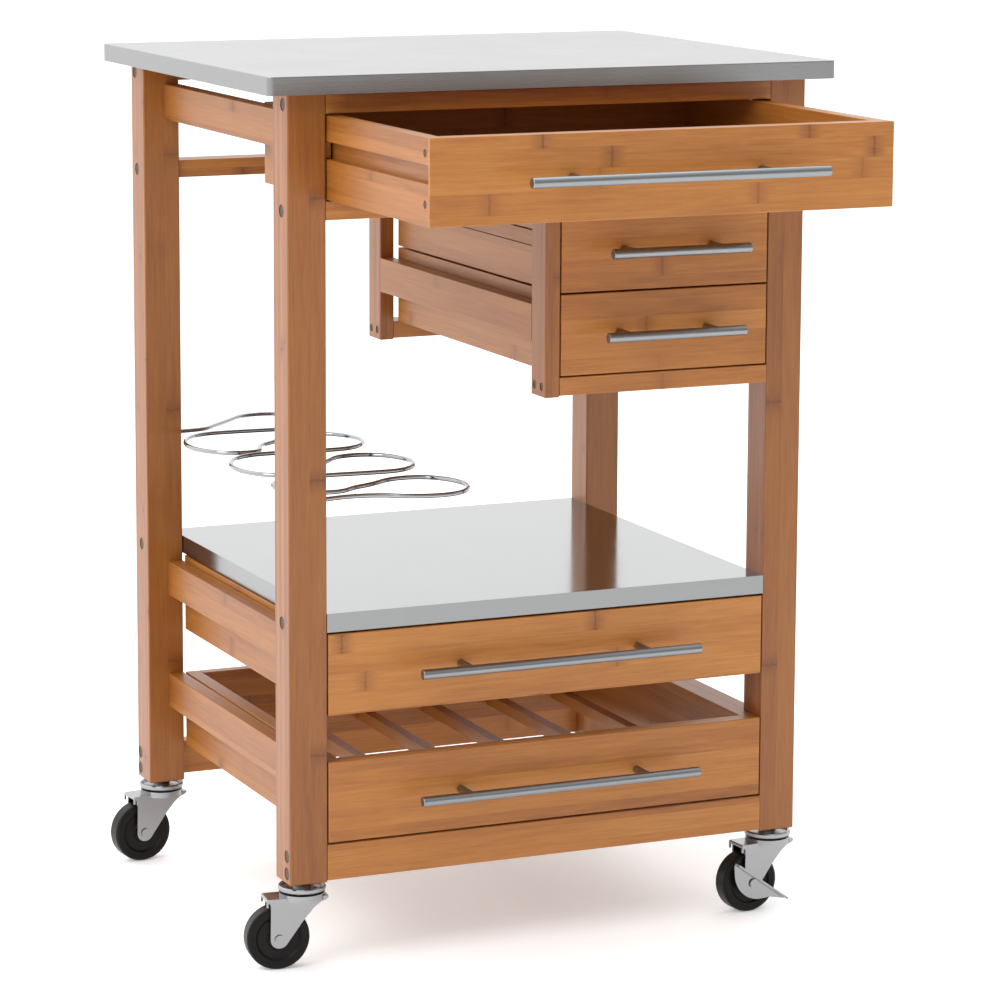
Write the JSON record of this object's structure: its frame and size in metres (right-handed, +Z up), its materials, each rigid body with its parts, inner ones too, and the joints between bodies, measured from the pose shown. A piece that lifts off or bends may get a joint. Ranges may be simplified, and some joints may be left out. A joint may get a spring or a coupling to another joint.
{
  "type": "rolling utility cart",
  "caption": "Wooden kitchen cart on swivel casters: steel worktop, drawers on wooden runners, slatted rack drawer, steel shelf and a looped wire rack.",
  "frame": {"origin": "on the floor, under the middle of the cart as it stands with its top drawer pulled out", "axes": "+Z up, -Y towards the user in front of the drawers, +X to the user's right"},
  "size_m": [0.6129, 0.7923, 0.871],
  "materials": {
    "bamboo": "clear satin lacquer on laminated bamboo",
    "panel": "thin veneered board",
    "core_board": "raw board",
    "brushed_sheet": "brushed stainless sheet",
    "mirror_sheet": "smooth stainless sheet",
    "satin_nickel": "satin nickel",
    "chrome_wire": "bright chrome",
    "zinc": "bright zinc plate",
    "screw_steel": "zinc plate",
    "dark_caps": "dark brown plastic",
    "wheel": "hard black tread"
  },
  "bodies": {
    "cart_frame": {"worktop_board": "core_board", "worktop_skin": "brushed_sheet", "post_front_left": "bamboo", "post_front_right": "bamboo", "post_back_left": "bamboo", "post_back_right": "bamboo", "front_top_rail": "bamboo", "front_middle_rail": "bamboo", "front_bottom_rail": "bamboo", "back_top_rail": "bamboo", "back_middle_rail": "bamboo", "back_bottom_rail": "bamboo", "unit_front_rail": "bamboo", "unit_back_rail": "bamboo", "unit_front_stile": "bamboo", "unit_back_stile": "bamboo", "top_side_rails": "bamboo", "shelf_side_rails": "bamboo", "rack_side_rails": "bamboo", "unit_side_rails": "bamboo", "drawer_runners": "bamboo", "shelf_board": "core_board", "shelf_skin": "mirror_sheet", "wire_rack": "chrome_wire", "frame_screws": "screw_steel", "screw_caps": "dark_caps", "caster_stems": "zinc"},
    "top_drawer": {"top_front": "bamboo", "top_box": "bamboo", "top_bottom": "panel", "top_hardware": "satin_nickel"},
    "small_upper_drawer": {"small_upper_front": "bamboo", "small_upper_box": "bamboo", "small_upper_bottom": "panel", "small_upper_hardware": "satin_nickel"},
    "small_lower_drawer": {"small_lower_front": "bamboo", "small_lower_box": "bamboo", "small_lower_bottom": "panel", "small_lower_hardware": "satin_nickel"},
    "lower_drawer": {"lower_front": "bamboo", "lower_box": "bamboo", "lower_bottom": "panel", "lower_hardware": "satin_nickel"},
    "rack_drawer": {"rack_front": "bamboo", "rack_box": "bamboo", "rack_slats": "bamboo", "rack_hardware": "satin_nickel"},
    "caster_front_left": {"fork_front_left": "zinc"},
    "wheel_front_left": {"wheel_front_left": "wheel"},
    "caster_front_right": {"fork_front_right": "zinc"},
    "wheel_front_right": {"wheel_front_right": "wheel"},
    "brake_front_right": {"brake_lever_front_right": "zinc"},
    "caster_back_left": {"fork_back_left": "zinc"},
    "wheel_back_left": {"wheel_back_left": "wheel"},
    "caster_back_right": {"fork_back_right": "zinc"},
    "wheel_back_right": {"wheel_back_right": "wheel"},
    "brake_back_right": {"brake_lever_back_right": "zinc"}
  },
  "joints": [
    {"name": "top_drawer_slide", "type": "slide", "parent": "cart_frame", "child": "top_drawer", "axis": [0, -1, 0], "range_m": [-0.248, 0.052]},
    {"name": "small_upper_drawer_slide", "type": "slide", "parent": "cart_frame", "child": "small_upper_drawer", "axis": [0, -1, 0], "range_m": [0, 0.3]},
    {"name": "small_lower_drawer_slide", "type": "slide", "parent": "cart_frame", "child": "small_lower_drawer", "axis": [0, -1, 0], "range_m": [0, 0.3]},
    {"name": "lower_drawer_slide", "type": "slide", "parent": "cart_frame", "child": "lower_drawer", "axis": [0, -1, 0], "range_m": [0, 0.3]},
    {"name": "rack_drawer_slide", "type": "slide", "parent": "cart_frame", "child": "rack_drawer", "axis": [0, -1, 0], "range_m": [0, 0.3]},
    {"name": "swivel_front_left", "type": "hinge", "parent": "cart_frame", "child": "caster_front_left", "pos_m": [-0.2555, -0.0915, 0.073], "axis": [0, 0, 1], "continuous": true},
    {"name": "roll_front_left", "type": "hinge", "parent": "caster_front_left", "child": "wheel_front_left", "pos_m": [-0.28081, -0.08839, 0.0315], "axis": [0.1219, 0.9925, 0], "continuous": true},
    {"name": "swivel_front_right", "type": "hinge", "parent": "cart_frame", "child": "caster_front_right", "pos_m": [0.2555, -0.0915, 0.073], "axis": [0, 0, 1], "continuous": true},
    {"name": "roll_front_right", "type": "hinge", "parent": "caster_front_right", "child": "wheel_front_right", "pos_m": [0.2301, -0.09372, 0.0315], "axis": [-0.0872, 0.9962, 0], "continuous": true},
    {"name": "brake_front_right", "type": "hinge", "parent": "caster_front_right", "child": "brake_front_right", "pos_m": [0.2301, -0.09372, 0.0315], "axis": [0.0872, -0.9962, 0], "range_deg": [0, 18]},
    {"name": "swivel_back_left", "type": "hinge", "parent": "cart_frame", "child": "caster_back_left", "pos_m": [-0.2555, 0.3275, 0.073], "axis": [0, 0, 1], "continuous": true},
    {"name": "roll_back_left", "type": "hinge", "parent": "caster_back_left", "child": "wheel_back_left", "pos_m": [-0.28086, 0.32483, 0.0315], "axis": [-0.1045, 0.9945, 0], "continuous": true},
    {"name": "swivel_back_right", "type": "hinge", "parent": "cart_frame", "child": "caster_back_right", "pos_m": [0.2555, 0.3275, 0.073], "axis": [0, 0, 1], "continuous": true},
    {"name": "roll_back_right", "type": "hinge", "parent": "caster_back_right", "child": "wheel_back_right", "pos_m": [0.23003, 0.32883, 0.0315], "axis": [0.0523, 0.9986, 0], "continuous": true},
    {"name": "brake_back_right", "type": "hinge", "parent": "caster_back_right", "child": "brake_back_right", "pos_m": [0.23003, 0.32883, 0.0315], "axis": [-0.0523, -0.9986, 0], "range_deg": [0, 18]}
  ]
}
